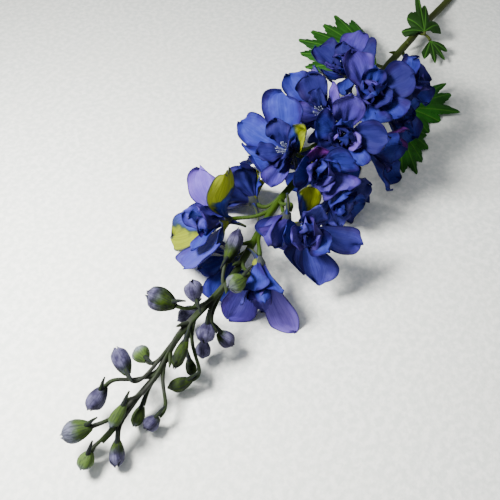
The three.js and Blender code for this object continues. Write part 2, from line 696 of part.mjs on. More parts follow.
/** The stem with every stalk and bract on it. grow widens it all, for cutting clear of it. */
function stemSolid(grow) {
  const pieces = [mainStem(grow)];
  for (const floret of FLORETS) {
    const facing = vector(floret.faces).normalize();
    const end = vector(floret.at).addScaledVector(facing, KNOB_BACK - GAP);
    pieces.push(stalk(floret.at[0] + FLORET_STALK_RUN, end, facing, STALK_RADIUS, 3, grow));
  }
  for (const bud of BUDS) {
    const heading = vector(bud.tip).sub(vector(bud.base)).normalize();
    pieces.push(stalk(bud.from, vector(bud.base), heading, STALK_RADIUS * 0.9, 3, grow));
  }
  for (const leaf of LEAVES) {
    const centre = new THREE.Vector3();
    leaf.lobes.forEach((lobe) => centre.add(vector(lobe)));
    centre.divideScalar(leaf.lobes.length);
    const heading = centre.sub(vector(leaf.base)).normalize();
    const end = vector(leaf.base).addScaledVector(heading, -GAP);
    pieces.push(stalk(leaf.from, end, heading, LEAF_STALK_RADIUS, 4, grow));
  }
  for (const [distance, angle] of BRACTS) pieces.push(bract(distance, angle));
  return fuse(pieces);
}

// ---------------------------------------------------------------- the spike

const spike = new THREE.Group();
const twoDigits = (number) => String(number).padStart(2, "0");

spike.add(mesh("stem", stemSolid(0), STEM_GREEN, 0.6));
const stemRoom = stemSolid(GAP);

FLORETS.forEach((floret, index) => {
  const number = index + 1;
  const planes = cellOf(floret);
  let shape = floretSolid(floret, number, planes).subtract(stemRoom);
  if (!FLORETS_WITH_HIDDEN_STAMENS.includes(number)) {
    shape = shape.subtract(stamenRoom(floret));
    spike.add(mesh(`stamens_${twoDigits(number)}`, stamens(floret, number), STAMEN_WHITE, 0.6));
  }
  spike.add(mesh(`floret_${twoDigits(number)}`, fuse([shape]), PETAL_BLUE, 0.75));
});

BUDS.forEach((bud, index) => {
  spike.add(mesh(`bud_${twoDigits(index + 1)}`, budSolid(bud, index + 1), BUD_LILAC, 0.65));
});

LEAVES.forEach((leaf, index) => {
  spike.add(mesh(`leaf_${index + 1}`, leafSolid(leaf), LEAF_GREEN, 0.6));
});

spike.position.copy(MIDDLE).negate();

export default spike;
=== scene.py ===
import math
from collections import namedtuple
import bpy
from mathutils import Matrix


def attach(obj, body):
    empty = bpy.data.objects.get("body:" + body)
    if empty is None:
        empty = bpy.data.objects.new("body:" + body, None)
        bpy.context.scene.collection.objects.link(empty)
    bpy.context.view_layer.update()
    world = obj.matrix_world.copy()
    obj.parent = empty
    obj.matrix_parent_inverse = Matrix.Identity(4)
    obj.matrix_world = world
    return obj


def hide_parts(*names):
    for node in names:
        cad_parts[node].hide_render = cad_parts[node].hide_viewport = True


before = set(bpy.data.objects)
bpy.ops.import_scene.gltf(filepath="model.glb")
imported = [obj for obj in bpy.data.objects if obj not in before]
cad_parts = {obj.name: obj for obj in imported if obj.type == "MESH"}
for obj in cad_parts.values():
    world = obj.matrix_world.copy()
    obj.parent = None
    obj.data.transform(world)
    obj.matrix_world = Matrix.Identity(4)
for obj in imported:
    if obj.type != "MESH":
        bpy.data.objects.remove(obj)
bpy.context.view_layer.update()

from types import SimpleNamespace as Values

import bpy
import numpy as np
from mathutils import Vector

# A cut delphinium spike lying on its side. Lengths are millimetres, and places start from the
# spike's tip, as in the part's source. place() turns them into metres in the row frame.

MM = 0.001
MIDDLE = np.array([274.7, 8.0, 0.0])
GAP = 0.3

STEM_LINE = [
    (5, -1, 13.5), (12, -2, 14), (24, -2, 15), (46, -5, 19), (70, -3, 23), (100, -8, 28),
    (122, -9, 30), (172, -4, 31), (210, -5, 31), (260, -3, 29), (305, -1, 25), (344, 0, 20),
    (390, 1, 14), (436, 2, 8), (482, 0, 4.2), (520, -1, 2.7), (560, -2, 2.45),
]
# Radii at the tip and the cut, and the distance that petals keep from the stem's middle.
STEM = Values(tip=1.5, cut=2.75, thick_from=330, clearance=8, points=220, sides=20)
# Ribs along the stem, as shares of its radius, and how much deeper they are where it is young.
RIB = Values(depth=0.04, young=0.1, count=3, twist=0.11, young_to=60, old_from=170)
# Shares of a stalk's run along the stem, out from it and back from its end, and of its radius.
STALK = Values(along=0.45, out=0.3, arrives=0.34, points=26, sides=12, foot=1.25, waist=0.3)
STALK_RADIUS = 1.15
BUD_STALK_RADIUS = 0.9 * STALK_RADIUS
LEAF_STALK_RADIUS = 1

# Rings of petals. A petal starts root from the floret's axis and sunk below its middle, rises at
# rise degrees from the axis and ends at open degrees. cup, twist and ruffle are heights at its
# sides, and claw is the share of its width that its root has.
SEPAL = Values(
    name="sepals", layer=0, offset=0, count=5, length=33, width=26, root=2.6, sunk=2, rise=46,
    open=98, cup=2.6, twist=1.8, ruffle=1.3, claw=0.1, grid=(30, 22),
)
PETAL = Values(
    name="petals", layer=3, offset=40, count=3, length=21, width=16, root=2.4, sunk=0.4, rise=12,
    open=60, cup=1.2, twist=0.8, ruffle=0.9, claw=0.14, grid=(22, 16),
)
# Small crumpled petals inside, spread about the stamens or closed over them.
SPREAD_HEART = Values(
    name="heart", layer=4, offset=8, count=4, length=15, width=14, root=2.6, sunk=0.1, rise=26,
    open=78, cup=1.3, twist=1.2, ruffle=1.7, claw=0.2, grid=(16, 14),
)
CLOSED_HEART = Values(
    name="heart", layer=4, offset=8, count=4, length=15.5, width=17, root=2.4, sunk=0.1, rise=-10,
    open=34, cup=1.8, twist=1.4, ruffle=1.8, claw=0.25, grid=(16, 14),
)
# Florets whose heart is spread, so that their stamens show.
SEEN_STAMENS = [5, 9]
# (use of draw(), most) for a heart petal's azimuth, length, width and openness.
HEART_DRAWS = [(31, 24), (32, 0.2), (33, 0.25), (34, 0.4)]
# (use of draw(), most) for all in which petals differ: degrees, shares and phases of waves.
PETAL_DRAWS = dict(
    open=(1, 9), length=(2, 0.08), width=(3, 0.1), wave=(4, 1), azimuth=(5, 7), blunt=(11, 0.8),
    notch=(12, 0.035), notch_place=(13, 2), edge=(14, 6), frill=(15, 8), fold=(16, 3),
    curl=(17, 9), crumple=(18, 7), crumple_place=(19, 5),
)
DRAWS_PER_FLORET = 20
PETAL_THICKNESS = 0.36
# A petal's width follows a share of an arch that leans to its tip, and rounds off from end on.
OUTLINE = Values(arch=0.68, lean=1.3, end=0.66, blunt=2.3, back=0.05, least=0.0015, wave=0.05)
CLOSED_WIDTH = 0.4
# Heights on a petal. All but the crease also grow with how crumpled the floret is.
HEIGHTS = Values(frill=0.9, curl=1.1, fold=0.34, crumple=0.28, crease=0.7)
USUALLY_CRUMPLED = 1.4
CREASE_WIDTH = 0.14

# Over what distance a petal bends away from its neighbours, the floor and a piece beside it, and
# beyond how many times that it stays as it is.
CROWDING = 4.5
FLOOR_SOFTNESS = 0.3
BESIDE_SOFTNESS = 1.5
BENDS_WITHIN = 6
# How far petals stay off the planes: the outermost, each layer further in, and any surface.
FIRST_MARGIN = 0.5
LAYER = 0.75
SURFACE_MARGIN = 0.1
NEIGHBOURS_WITHIN = 80
ROOT_FREE = 2
ROOT_BENDS = 11

# (radius, height) of rings of the knob that the petals grow from, heights of its finer rings, and
# the share of that radius that it has.
KNOB_RINGS = [(1.6, -5), (4, -1.6), (4.2, 1.2)]
KNOB_BACK = KNOB_RINGS[0][1]
KNOB_TOP = KNOB_RINGS[2][1]
KNOB_HEIGHTS = [-5, -4.2, -3, -1.6, 0, 0.9, 1.2]
KNOB_SHARE = 0.95
# The last value of these hues is painted shade: a little on the knob among the petals and on the
# spur.
KNOB_HUE = (0.1, 0.8, 0.3)
SPUR = [(0.8, 0, -1.5), (3.5, 0, -9), (10, 0, -15)]
SPUR_RADII = (1.7, 0.6)
SPUR_MARGIN = 3
SPUR_HUE = (0.3, 0.5, 0.3)

# Filaments at turns of the golden angle, each further out and lower than the last.
TUFT = Values(count=18, turn=2.39996, uneven=0.4, root=0.7, inner=0.6, outer=3.2, height=10.3,
              lower=2.4, height_uneven=0.8, root_rise=0.4, bend_rise=4)
FILAMENT_RADII = (0.14, 0.1)
ANTHER = Values(radius=0.1, swell=0.2, back=-0.2, front=0.9)
BUTTON_HEIGHT = 1.2
BUTTON_RADII = (1.6, 0.8)

# Every floret as in the part's source. at is the middle of its knob, reach how far ahead of it its
# room is centred, and floor the lowest height of its petals. A petal is (azimuth, length, width,
# openness, roll) in degrees and shares of the usual, and the roll is often left out. hues has a
# letter for each sepal, then for each inner petal.
FLORETS = [
    dict(at=(311, -22, 40), faces=(0.4, -0.65, 0.6), turn=30, size=1, open=0.9, reach=12, floor=12,
         hues="vbdvd ddb",
         sepals=[(20, 0.85, 0.9, 1, 30), (80, 0.8, 1, 1, 20), (135, 1, 1, 1),
                 (165, 0.9, 1, 0.9, -20), (330, 0.55, 0.9, 0.9)]),
    dict(at=(306, 13, 36), faces=(-0.35, 0.35, 0.87), turn=30, size=1, open=1, reach=11, floor=8,
         hues="bdvdb bdv"),
    dict(at=(270, -18, 52), faces=(-0.48, -0.29, 0.83), turn=50, size=1, open=1, reach=14, floor=8,
         hues="bbbdv dbv",
         sepals=[(36, 1, 1.1, 1), (345, 1, 0.9, 1), (85, 1, 0.9, 1), (150, 1, 1, 0.9),
                 (240, 0.9, 0.9, 1)]),
    dict(at=(280, 24, 27), faces=(-0.1, 0.88, 0.46), turn=15, size=0.95, open=1, reach=10, floor=0,
         hues="bplbb bbb"),
    dict(at=(247, 2, 46), faces=(-0.75, 0.22, 0.62), turn=5, size=1, open=0.95, reach=12, floor=8,
         hues="bdvdl ddv",
         sepals=[(225, 1.15, 1, 1), (195, 0.9, 1, 0.7), (300, 0.9, 0.9, 1), (10, 0.8, 0.8, 1),
                 (120, 1, 0.8, 0.9)]),
    dict(at=(283, -29, 35), faces=(0, -0.97, 0.22), turn=40, size=1, open=1, reach=10, floor=10,
         hues="bbddb bbb"),
    dict(at=(231, -19, 50), faces=(-0.8, -0.25, 0.5), turn=65, size=0.95, open=0.85, reach=12,
         floor=8, hues="bdvbd lbd"),
    dict(at=(252, -28, 28), faces=(0.1, -0.97, 0), turn=20, size=1.05, open=0.65, reach=10, floor=5,
         hues="bbmmb vbb"),
    dict(at=(204, 4, 46), faces=(-0.64, 0.33, 0.7), turn=24, size=1.08, open=1.02, reach=14,
         floor=8, hues="vybbb ddd",
         sepals=[(5, 1, 0.85, 1, -50), (105, 0.85, 1.2, 1, 50), (180, 1, 1.1, 1, 15),
                 (245, 1.1, 1, 1), (300, 1.15, 0.9, 1.05, -25)]),
    dict(at=(203, -15, 44), faces=(-0.66, -0.64, 0.4), turn=35, size=1, open=0.95, reach=12,
         floor=8, hues="dvbmb vbv",
         sepals=[(30, 0.75, 0.9, 1), (107, 1, 1.1, 1), (179, 1, 1.05, 1), (246, 0.55, 1.1, 1),
                 (318, 0.85, 0.9, 1)]),
    dict(at=(208, -26, 24), faces=(-0.45, -0.87, -0.15), turn=36, size=1, open=0.95, reach=10,
         floor=0, hues="pbbdb pbb",
         sepals=[(10, 0.7, 1, 1), (106, 0.8, 1.3, 1, -12), (150, 0.9, 1.3, 1, -30),
                 (196, 0.7, 0.9, 1, -30), (288, 0.9, 1, 1)]),
    dict(at=(158, -27, 38), faces=(-0.5, -0.66, 0.55), turn=60, size=1.12, open=1.05, reach=12,
         floor=2, hues="dppyb bpv",
         sepals=[(18, 1, 0.9, 1), (60, 1, 1.35, 1), (127, 1.02, 0.62, 1), (227, 0.76, 0.62, 1),
                 (330, 0.6, 0.6, 0.9)]),
    dict(at=(156, -19, 43), faces=(-0.7, 0.1, -0.55), turn=10, size=0.92, open=1.05, reach=6,
         floor=20, crumpled=0.25, hues="vpbvv ppb",
         sepals=[(azimuth, 0.9, 1.25, -0.45) for azimuth in (46, 136, 226, 316)],
         petals=[(azimuth, 0.5, 0.7, -0.1) for azimuth in (90, 270)]),
    dict(at=(178, 16, 21), faces=(0.2, 0.97, 0.13), turn=60, size=1, open=0.8, reach=10, floor=0,
         hues="dgydd dbb",
         sepals=[(100, 0.75, 1.1, 1, -25), (150, 0.65, 1.1, 0.9, 50), (200, 1, 1.2, 0.9, 40),
                 (276, 1, 1, 1), (20, 0.9, 0.8, 1)]),
    dict(at=(147, 16, 31), faces=(-0.82, 0.52, 0.24), turn=45, size=1.2, open=0.95, reach=12,
         floor=0, crumpled=0.7, hues="ylgpG vpb",
         sepals=[(85, 1.5, 0.75, 1.25, -105), (162, 0.8, 0.85, 1, 20), (250, 1.15, 0.95, 1, 5),
                 (328, 1.15, 1.8, 0.8, -5), (25, 0.8, 0.8, 1)]),
    dict(at=(129, -18, 30), faces=(-0.8, -0.4, -0.4), turn=0, size=1.2, open=0.55, reach=9, floor=0,
         crumpled=0.3, hues="vbkbb pvb",
         beside=[dict(piece=(107, -16, 36), away=(0.35, -0.2, -0.92), clear=6.5)],
         sepals=[(100, 1.05, 0.95, 1.25, 15), (140, 0.8, 0.7, 1.3), (172, 1.3, 0.85, 1, -45),
                 (250, 0.6, 0.5, 1.1), (325, 0.55, 0.7, 1.2)]),
    dict(at=(136, 4, 13), faces=(-0.46, 0.62, -0.62), turn=50, size=0.9, open=1, reach=6, floor=0,
         hues="bvbbb bbb"),
    dict(at=(228, 24, 24), faces=(-0.15, 0.93, 0.3), turn=20, size=0.95, open=0.9, reach=10,
         floor=0, hues="bbbgb bbb"),
    dict(at=(243, -2, 7.5), faces=(0.1, 0.15, -0.98), turn=20, size=0.95, open=1.02, reach=4,
         floor=0, hues="bdbbd bbb"),
]
# Florets that are closed, or face where their stamens don't show.
HIDDEN_STAMENS = [11, 13, 14, 17, 19]
FLORET_STALK_RUN = 24

# How far each letter goes to lilac (and from 1 to 2 on to purple), to yellow-green at the tip (or,
# below 0, at the root), and to dark painted shade for petals in shade (or, below 0, to pale).
HUES = {
    "b": (0.1, 0, 0.1), "v": (0.5, 0, 0.25), "l": (0.9, 0, -0.2), "p": (0.25, 0, -0.25),
    "k": (0.95, 0, -0.8), "d": (0.2, 0, 0.8), "g": (0.1, 0.75, 0), "G": (0, -1, 0.1),
    "y": (0, 1, 0), "m": (1.9, 0, 0.2),
}

# start is where a bud's stalk leaves the stem, green how far up the bud its green reaches, and
# young how light its colours are.
Bud = namedtuple("Bud", "base tip width start green young", defaults=[0])
BUDS = [
    Bud((82, 6, 30), (79, 24, 32), 13.5, 97, 0.55),
    Bud((86, -5, 37), (91, 1, 46), 10, 100, 0.15),
    Bud((94, 1, 17), (84, 8, 12), 9.5, 112, 0.3),
    Bud((117, -4, 36), (137, -1, 44), 8.5, 108, 0.5),
    Bud((113, -19, 37), (102, -14, 36), 11, 128, 0.6, 0.6),
    Bud((84, -13, 26), (74, -17, 22), 10, 104, 0.1),
    Bud((87, -17, 16), (86, -28, 12), 8.5, 108, 0.35),
    Bud((81, -12, 12), (72, -16, 8), 8.5, 102, 0.2),
    Bud((37, 5, 25), (45, 18, 30), 9.5, 70, 0.3),
    Bud((52, 5, 17), (55, 15, 18), 9.5, 66, 0.5, 1),
    Bud((27, 12, 22), (15, 15, 13), 9.5, 50, 0.15),
    Bud((7, 5, 20), (-4, 17, 16), 11, 36, 0.5, 0.4),
    Bud((-1, 1, 11), (-10, 1, 6.5), 8, 12, 0.65, 0.9),
    Bud((24, -3, 23.5), (10, -4, 21.5), 6.5, 36, 0.9, 0.5),
    Bud((11, -6, 10), (0, -13, 6), 7.5, 34, 0.5),
    Bud((70, -9, 26), (53, -12, 22), 6.5, 82, 1),
    Bud((58, -19, 10), (48, -10, 7), 7.5, 84, 1),
    Bud((67, -11, 12), (61, -18, 8), 5.5, 80, 0.9),
    Bud((32, -16, 9), (23, -13, 7), 8, 58, 0.2),
    Bud((33, -5, 8.5), (22, -7, 4.5), 6, 48, 0.8, 0.5),
]

# Each sepal is two fifths of a turn on from the last, and a step further out. cover is half the
# angle that it covers, and from crown on it closes in to the tip.
BUD_SEPAL = Values(count=5, turn=144, uneven=25, cover=66, step=0.14, crown=0.72, closes=0.55,
                   thickness=0.3, rows=22, columns=15)
# Shares of half a bud's width, and how wide the keel is across a sepal.
BUD_RELIEF = Values(lip=0.1, keel=0.05, ripple=0.045, tuck=0.1, keel_width=0.1)
BUD_CORE = Values(end=0.84, width=0.8, taper=0.3, points=16, sides=16)
# (distance ahead of the base, widths of the bud above it) of the spur's points.
BUD_SPUR = [(3, 0.16), (-2, 0.5), (-5.5, 0.6)]
BUD_SPUR_RADII = (1.4, 0.45)
BUD_SPUR_HUE = (0, 1.2, 0.6)

# lobes are their tips, cut the reach between two of them as a share of theirs, arch how high
# the blade curves up, and dark how much painted shade darkens a blade that lies in shade.
LEAVES = [
    dict(base=(355, 10, 14), start=398, cut=0.82, arch=3, dark=0.45,
         lobes=[(331, 58, 8), (343, 69, 10), (356, 78, 12), (371, 74, 13), (382, 69, 14),
                (398, 67, 15), (399, 51, 15)]),
    dict(base=(326, -27, 8), start=352, cut=0.72, arch=1.5, dark=0,
         lobes=[(369, -42, 8), (361, -49, 6), (348, -62, 3), (334, -52, 0), (318, -50, 0)]),
    dict(base=(306, -30, 6), start=336, cut=0.82, arch=1.5, dark=0.1,
         lobes=[(311, -50, 4), (301, -56, 2), (288, -57, 0), (274, -59, 0), (270, -50, 0)]),
    dict(base=(410, -6, 17), start=418, cut=0.6, arch=2, dark=0.85,
         lobes=[(402, 10, 16), (416, 12, 20), (450, 21, 31), (434, 4, 24), (425, -12, 17)]),
    dict(base=(407, -13, 13), start=424, cut=0.6, arch=1, dark=0.85,
         lobes=[(408, -28, 8), (399, -30, 6), (391, -25, 6), (389, -16, 8)]),
]

# (share of the way from one lobe to the next, share of the depth of the cut between them).
LOBE_SIDE = [(0.22, 0.36), (0.35, 0.75), (0.5, 1), (0.74, 0.5)]
# shoulders are reaches of the edge between the stalk and the first or last lobe.
LEAF = Values(shoulders=(0.35, 0.72), thickness=0.45, lowest=0.25, rings=14, first_ring=0.02,
              tooth=0.035, edge_steps=5)
# Main veins, and how high the blade rises between side veins, over a distance from a main vein.
VEIN = Values(depth=0.5, width=1.1, between=0.18, rises_over=5)

# (distance from the spike's tip, degrees round the stem) of each bract.
BRACTS = [
    (46, 20), (60, 200), (78, 60), (96, 300), (108, 150), (124, 80), (140, 30),
    (372, 40), (380, 200), (392, 120), (404, 300),
]
BRACT = Values(length=6.5, spread=3.5, root=1.5, tip=0.25, bulge=0.8, points=10, sides=10)

SHARP_ANGLE = math.radians(50)
TINY = 1e-9

for floret in FLORETS:
    floret["at"] = np.array(floret["at"], float)
for leaf in LEAVES:
    leaf.update(base=np.array(leaf["base"], float), lobes=np.array(leaf["lobes"], float))


# ---- small helpers

def place(points):
    """Points in metres in the row frame."""
    return (np.asarray(points, float) - MIDDLE) * MM


def unit(vector):
    return np.asarray(vector, float) / np.linalg.norm(vector)


def draw(piece, use):
    """The part's own repeatable draw between -1 and 1."""
    wave = math.sin(piece * 12.9898 + use * 78.233) * 43758.5453
    return 2 * (wave - math.floor(wave)) - 1


def smoothstep(low, high, x):
    share = np.clip((x - low) / (high - low), 0, 1)
    return share * share * (3 - 2 * share)


LINE = np.array(STEM_LINE, float)
CHORDS = LINE[[*range(1, len(LINE)), -1]] - LINE[[0, *range(len(LINE) - 1)]]
SLOPES = CHORDS[:, 1:] / CHORDS[:, :1]


def stem_centre(x):
    """The stem's centre line at distances from the tip, smoothly between its points."""
    x = np.clip(np.asarray(x, float), LINE[0, 0], LINE[-1, 0])[..., None]
    here = np.clip(np.searchsorted(LINE[:, 0], x[..., 0]) - 1, 0, len(LINE) - 2)
    there = here + 1
    width = LINE[there, :1] - LINE[here, :1]
    s = (x - LINE[here, :1]) / width
    level = (2 * s**3 - 3 * s**2 + 1) * LINE[here, 1:] + (3 * s**2 - 2 * s**3) * LINE[there, 1:]
    slope = (s**3 - 2 * s**2 + s) * SLOPES[here] + (s**3 - s**2) * SLOPES[there]
    return np.concatenate([x, level + slope * width], axis=-1)


def stem_radius(x):
    return STEM.tip + (STEM.cut - STEM.tip) * np.clip(x / STEM.thick_from, 0, 1)


def bezier(points, count):
    """count points along a quadratic or cubic Bezier curve."""
    points = np.asarray(points, float)[:, None, :]
    t = np.linspace(0, 1, count)[:, None]
    while len(points) > 1:
        points = points[:-1] * (1 - t) + points[1:] * t
    return points[0]


# ---- meshes

class Shape:
    """Points, faces and per-point values of one piece, gathered from closed shells."""

    def __init__(self):
        self.points, self.faces, self.place, self.hue = [], [], [], []
        self.count = 0

    def add(self, points, faces, on, hue):
        """Adds a shell with three values on each of its points, and one hue."""
        self.points.append(points)
        self.faces.extend(tuple(index + self.count for index in face) for face in faces)
        self.place.append(on)
        self.hue.append(np.broadcast_to(np.asarray(hue, float), (len(points), 3)))
        self.count += len(points)

    def build(self, node, what, material):
        """Makes the piece that stands for a CAD node."""
        name = f"{node}_{what}"
        mesh = bpy.data.meshes.new(name)
        mesh.from_pydata(place(np.concatenate(self.points)).tolist(), [], self.faces)
        for label, values in (("place", self.place), ("hue", self.hue)):
            attribute = mesh.attributes.new(label, "FLOAT_VECTOR", "POINT")
            attribute.data.foreach_set("vector", np.concatenate(values).ravel())
        mesh.polygons.foreach_set("use_smooth", [True] * len(mesh.polygons))
        mesh.set_sharp_from_angle(angle=SHARP_ANGLE)
        mesh.materials.append(material)
        piece = bpy.data.objects.new(name, mesh)
        bpy.context.scene.collection.objects.link(piece)
        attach(piece, "root")
        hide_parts(node)


def sheet(shape, grid, on, hue, thickness, move=None):
    """Adds a thin closed blade about a grid of points. move() may shift the blade's own points."""
    rows, columns = grid.shape[:2]
    along = np.gradient(grid, axis=0)
    across = np.gradient(grid, axis=1)
    normal = np.cross(across, along)
    normal /= np.maximum(np.linalg.norm(normal, axis=-1, keepdims=True), TINY)
    front = (grid + normal * thickness / 2).reshape(-1, 3)
    back = (grid - normal * thickness / 2).reshape(-1, 3)
    points = np.concatenate([front, back])
    if move is not None:
        points = move(points)
    other = rows * columns
    faces = []
    for r in range(rows - 1):
        for c in range(columns - 1):
            a = r * columns + c
            b = a + columns
            faces.append((a, a + 1, b + 1, b))
            faces.append((a + other, b + other, b + 1 + other, a + 1 + other))
    index = np.arange(other).reshape(rows, columns)
    rim = [index[0], index[1:, -1], index[-1, -2::-1], index[-2:0:-1, 0]]
    rim = np.concatenate(rim).tolist()
    for a, b in zip(rim, rim[1:] + rim[:1]):
        faces.append((b, a, a + other, b + other))
    flat = on.reshape(-1, 3)
    shape.add(points, faces, np.concatenate([flat, flat]), hue)


def angles(sides):
    return np.linspace(0, 2 * math.pi, sides, endpoint=False)[None, :]


def around(values, sides):
    """(angle, the ring's value, 0) for each ring and side of a tube."""
    values = values[:, None]
    return np.stack(np.broadcast_arrays(angles(sides), values, 0 * values), axis=-1)


def tube(shape, centres, radius_at, sides, on=None, hue=(0, 0, 0), upright=(0, 0, 1)):
    """Adds a closed tube along centre points, with radius_at(share, angle).

    on has three values for each ring and side, and is (angle, share, 0) if left out.
    """
    centres = np.asarray(centres, float)
    count = len(centres)
    tangent = np.gradient(centres, axis=0)
    tangent /= np.linalg.norm(tangent, axis=1, keepdims=True)
    normal = np.zeros_like(centres)
    reference = unit(upright)
    nearly_parallel = 0.95
    if abs(np.dot(reference, tangent[0])) > nearly_parallel:
        reference = np.array([0.0, 1.0, 0.0])
    for k in range(count):
        reference = unit(reference - tangent[k] * np.dot(reference, tangent[k]))
        normal[k] = reference
    binormal = np.cross(tangent, normal)
    share = np.linspace(0, 1, count)[:, None]
    angle = angles(sides)
    radius = np.broadcast_to(radius_at(share, angle), (count, sides))[..., None]
    ring = normal[:, None] * np.cos(angle)[..., None] + binormal[:, None] * np.sin(angle)[..., None]
    points = (centres[:, None] + ring * radius).reshape(-1, 3)
    faces = []
    for k in range(count - 1):
        for s in range(sides):
            a = k * sides + s
            b = k * sides + (s + 1) % sides
            faces.append((a, b, b + sides, a + sides))
    faces.append(tuple(range(sides - 1, -1, -1)))
    last = (count - 1) * sides
    faces.append(tuple(range(last, last + sides)))
    if on is None:
        on = around(share[:, 0], sides)
    shape.add(points, faces, on.reshape(-1, 3), hue)


def taper(radii):
    """A tube's radius_at() that goes evenly from the first of two radii to the last."""
    first, last = radii
    return lambda share, angle: first + (last - first) * share


# ---- the room each floret has

def cell_middle(floret):
    return floret["at"] + unit(floret["faces"]) * floret["reach"]


def cell_of(floret):
    """(normal, offset, softness) of the planes that bound a floret's room."""
    middle = cell_middle(floret)
    planes = []
    for other in FLORETS:
        other_middle = cell_middle(other)
        if other is floret or np.linalg.norm(other_middle - middle) > NEIGHBOURS_WITHIN:
            continue
        share = other["size"] / (other["size"] + floret["size"])
        normal = unit(middle - other_middle)
        on_plane = other_middle + (middle - other_middle) * share
        planes.append((normal, normal @ on_plane, CROWDING))
    planes.append((np.array([0, 0, 1.0]), floret["floor"] - GAP / 2, FLOOR_SOFTNESS))
    for side in floret.get("beside", []):
        normal = unit(side["away"])
        offset = normal @ np.array(side["piece"]) + side["clear"]
        planes.append((normal, offset, BESIDE_SOFTNESS))
    return planes


def keep_inside(points, planes, margin):
    """Moves points onto planes that they are beyond, a few times, as one may undo another."""
    passes = 6
    for _ in range(passes):
        for normal, offset, _ in planes:
            inside = points @ normal - offset - margin
            points = points - np.minimum(inside, 0)[..., None] * normal
    return points


def press(points, floret, planes, margin):
    """Bends a petal's points gently away from the neighbours and the stem."""
    pressed = points.copy()
    for normal, offset, soft in planes:
        inside = pressed @ normal - offset - margin
        eased = soft * np.logaddexp(0, inside / soft)
        shift = np.where(inside < soft * BENDS_WITHIN, eased - inside, 0)
        pressed = pressed + shift[..., None] * normal
    away = pressed - stem_centre(pressed[..., 0])
    away[..., 0] = 0
    distance = np.maximum(np.linalg.norm(away, axis=-1), TINY)
    eased = (distance**4 + STEM.clearance**4) ** 0.25
    pressed = pressed + away * ((eased - distance) / distance)[..., None]
    from_root = np.linalg.norm(points - floret["at"], axis=-1)
    share = smoothstep(ROOT_FREE, ROOT_BENDS, from_root)[..., None]
    return keep_inside(points + (pressed - points) * share, planes, margin)


# ---- florets

def in_place(local, floret):
    """Points given in the floret's own axes: X as tipward as its facing allows, Z its facing."""
    facing = unit(floret["faces"])
    tipward = np.array([-1.0, 0, 0])
    across = unit(tipward - facing * (tipward @ facing))
    return local @ np.stack([across, np.cross(facing, across), facing]) + floret["at"]


def ring(kind, floret):
    """(azimuth, length, width, openness) of each petal of a ring, and of some the roll."""
    if kind.name in floret:
        return floret[kind.name]
    first = floret["turn"] + kind.offset
    even = [(first + 360 * k / kind.count, 1, 1, 1) for k in range(kind.count)]
    if kind.name != "heart":
        return even
    return [
        [value + most * draw(first + k, use) for value, (use, most) in zip(form, HEART_DRAWS)]
        for k, form in enumerate(even)
    ]


def petal_outline(kind, along):
    """A petal's width at a share of its length, as a share of its full width."""
    arch = np.sin(OUTLINE.arch * math.pi * along ** OUTLINE.lean)
    return kind.claw + (1 - kind.claw) * arch


def petal_lift(kind, floret, vary, across, along):
    """How far a petal's surface stands off its plain bend: cup, ruffles, frills, folds, crease."""
    size = floret["size"]
    wild = size * floret.get("crumpled", USUALLY_CRUMPLED)
    side = np.abs(across)
    wave = np.sin(2 * math.pi * (1.4 * along + vary["wave"]) + 2 * across)
    frill = np.sin(19 * along + vary["frill"] + 3 * across) * side**2.5 * along
    curl = np.sin(5 * across + vary["curl"]) * smoothstep(0.72, 1, along)
    fold = np.sin(9 * across + 4 * along + vary["fold"]) * np.sin(math.pi * along)
    crumple = np.sin(13 * along + vary["crumple"] * across + vary["crumple_place"])
    crumple = crumple * (0.4 + side) * smoothstep(0.15, 0.5, along)
    crease = np.exp(-((across / CREASE_WIDTH) ** 2)) * np.sin(math.pi * along**0.8)
    lift = petal_outline(kind, along) * (kind.cup * across**2 + kind.twist * across)
    lift = lift + kind.ruffle * wave * across**2 * along
    lift = lift + HEIGHTS.frill * wild * frill + HEIGHTS.curl * wild * curl
    lift = lift + HEIGHTS.fold * wild * fold + HEIGHTS.crumple * wild * crumple
    return lift - HEIGHTS.crease * size * crease


